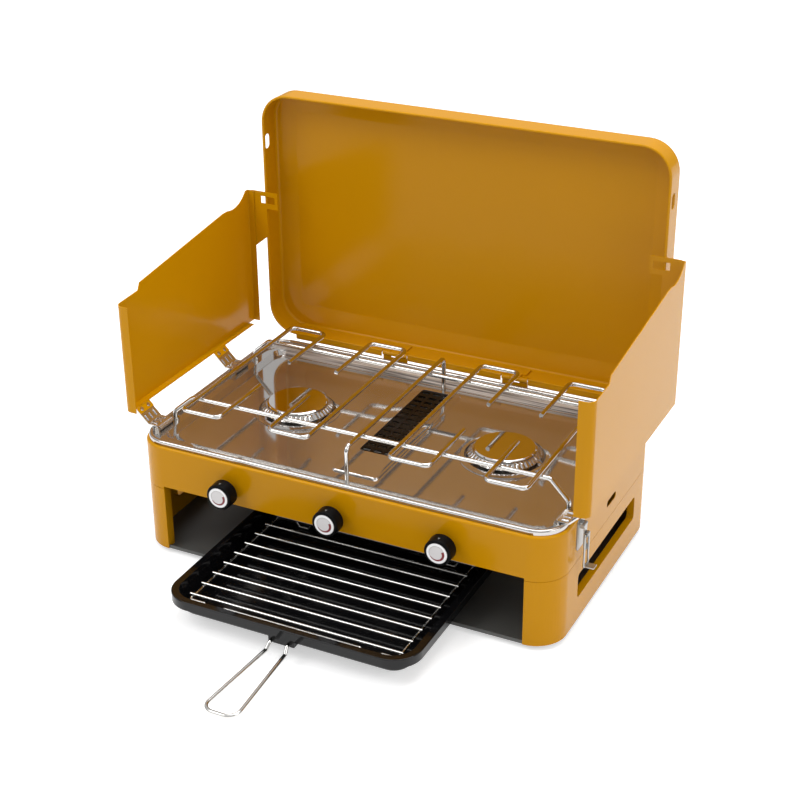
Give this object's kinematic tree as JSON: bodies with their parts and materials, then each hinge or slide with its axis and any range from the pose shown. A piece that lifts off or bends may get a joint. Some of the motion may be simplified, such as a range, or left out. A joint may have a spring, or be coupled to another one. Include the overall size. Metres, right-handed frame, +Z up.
{
  "type": "camping gas stove with grill",
  "caption": "Folding camping gas stove in sheet metal: burners in a polished hob under a rod pan support, hinged lid, folding wind shields, and a grill below with a sliding pan.",
  "frame": {"origin": "centre of the base tray's underside, at the bottom edge of the housing", "axes": "+X to the right seen from the front, +Y to the rear, +Z up"},
  "size_m": [0.546, 0.5792, 0.45],
  "materials": {
    "yellow_paint": "gloss paint",
    "grey_enamel": "dark grey satin paint",
    "rubber": "matt",
    "hob_steel": "polished stainless steel",
    "black_enamel": "gloss black enamel",
    "burner_metal": "cast",
    "burner_cap": "polished",
    "black_plastic": "satin",
    "dial": "satin disc with a printed ring",
    "brass": "machined",
    "tube_steel": "plated",
    "chrome": "bright",
    "hinge_steel": "zinc plated"
  },
  "bodies": {
    "housing": {"base_housing": "yellow_paint", "base_tray": "grey_enamel", "gas_inlet": "brass", "gas_rail": "tube_steel", "grill_burner": "tube_steel", "grill_burner_mesh": "tube_steel", "grill_supply_tube": "tube_steel", "grill_valve": "brass", "grill_vent": "black_enamel", "heat_shield": "tube_steel", "hinge_screws": "hinge_steel", "hob_tray": "hob_steel", "left_burner_cup": "burner_metal", "left_burner_head": "burner_metal", "left_burner_well": "hob_steel", "left_latch_base": "chrome", "left_supply_tube": "tube_steel", "left_valve": "brass", "lid_hinge_brackets": "hinge_steel", "lid_hinge_pins": "hinge_steel", "pan_support_clips": "chrome", "right_burner_cup": "burner_metal", "right_burner_head": "burner_metal", "right_burner_well": "hob_steel", "right_latch_base": "chrome", "right_supply_tube": "tube_steel", "right_valve": "brass", "rubber_feet": "rubber", "shield_clips": "chrome", "shield_pins": "chrome", "upper_housing": "yellow_paint"},
    "lid": {"lid_shell": "yellow_paint", "lid_hinge_leaves": "hinge_steel", "shield_catches": "yellow_paint"},
    "left_shield": {"left_shield_panel": "yellow_paint", "left_shield_straps": "chrome"},
    "right_shield": {"right_shield_panel": "yellow_paint", "right_shield_straps": "chrome"},
    "left_lever": {"left_latch_lever": "chrome"},
    "left_bail": {"left_latch_bail": "chrome"},
    "right_lever": {"right_latch_lever": "chrome"},
    "right_bail": {"right_latch_bail": "chrome"},
    "left_knob": {"left_knob": "black_plastic", "left_knob_dial": "dial", "left_valve_stem": "brass"},
    "grill_knob": {"grill_knob": "black_plastic", "grill_knob_dial": "dial", "grill_valve_stem": "brass"},
    "right_knob": {"right_knob": "black_plastic", "right_knob_dial": "dial", "right_valve_stem": "brass"},
    "pan_support": {"pan_support": "chrome"},
    "left_cap": {"left_burner_cap": "burner_cap"},
    "right_cap": {"right_burner_cap": "burner_cap"},
    "grill_pan": {"grill_pan": "black_enamel", "pan_handle_socket": "black_enamel"},
    "pan_rack": {"pan_rack": "chrome"},
    "pan_handle": {"pan_handle": "chrome"}
  },
  "joints": [
    {"name": "lid_hinge", "type": "hinge", "parent": "housing", "child": "lid", "pos_m": [0, 0.1515, 0.1415], "axis": [1, 0, 0], "range_deg": [0, 90]},
    {"name": "left_shield_hinge", "type": "hinge", "parent": "housing", "child": "left_shield", "pos_m": [-0.237, 0, 0.134], "axis": [0, 1, 0], "range_deg": [0, 90]},
    {"name": "right_shield_hinge", "type": "hinge", "parent": "housing", "child": "right_shield", "pos_m": [0.237, 0, 0.134], "axis": [0, -1, 0], "range_deg": [0, 90]},
    {"name": "left_lever_hinge", "type": "hinge", "parent": "housing", "child": "left_lever", "pos_m": [-0.2545, -0.09, 0.12], "axis": [0, -1, 0], "range_deg": [-90, 0]},
    {"name": "left_bail_hinge", "type": "hinge", "parent": "left_lever", "child": "left_bail", "pos_m": [-0.258, -0.09, 0.11], "axis": [0, 1, 0], "range_deg": [0, 180]},
    {"name": "right_lever_hinge", "type": "hinge", "parent": "housing", "child": "right_lever", "pos_m": [0.2545, -0.09, 0.12], "axis": [0, 1, 0], "range_deg": [-90, 0]},
    {"name": "right_bail_hinge", "type": "hinge", "parent": "right_lever", "child": "right_bail", "pos_m": [0.258, -0.09, 0.11], "axis": [0, -1, 0], "range_deg": [0, 180]},
    {"name": "left_knob_turn", "type": "hinge", "parent": "housing", "child": "left_knob", "pos_m": [-0.129, -0.166, 0.099], "axis": [0, -1, 0], "range_deg": [0, 180]},
    {"name": "grill_knob_turn", "type": "hinge", "parent": "housing", "child": "grill_knob", "pos_m": [0, -0.166, 0.099], "axis": [0, -1, 0], "range_deg": [0, 180]},
    {"name": "right_knob_turn", "type": "hinge", "parent": "housing", "child": "right_knob", "pos_m": [0.129, -0.166, 0.099], "axis": [0, -1, 0], "range_deg": [0, 180]},
    {"name": "support_lift", "type": "slide", "parent": "housing", "child": "pan_support", "axis": [0, 0, -1], "range_m": [-0.04, 0]},
    {"name": "left_cap_lift", "type": "slide", "parent": "housing", "child": "left_cap", "axis": [0, 0, -1], "range_m": [-0.02, 0]},
    {"name": "right_cap_lift", "type": "slide", "parent": "housing", "child": "right_cap", "axis": [0, 0, -1], "range_m": [-0.02, 0]},
    {"name": "pan_slide", "type": "slide", "parent": "housing", "child": "grill_pan", "axis": [0, 1, 0], "range_m": [0, 0.125]},
    {"name": "rack_lift", "type": "slide", "parent": "grill_pan", "child": "pan_rack", "axis": [0, 0, -1], "range_m": [-0.02, 0]},
    {"name": "handle_pull", "type": "slide", "parent": "grill_pan", "child": "pan_handle", "axis": [0, 1, 0], "range_m": [-0.015, 0]}
  ]
}
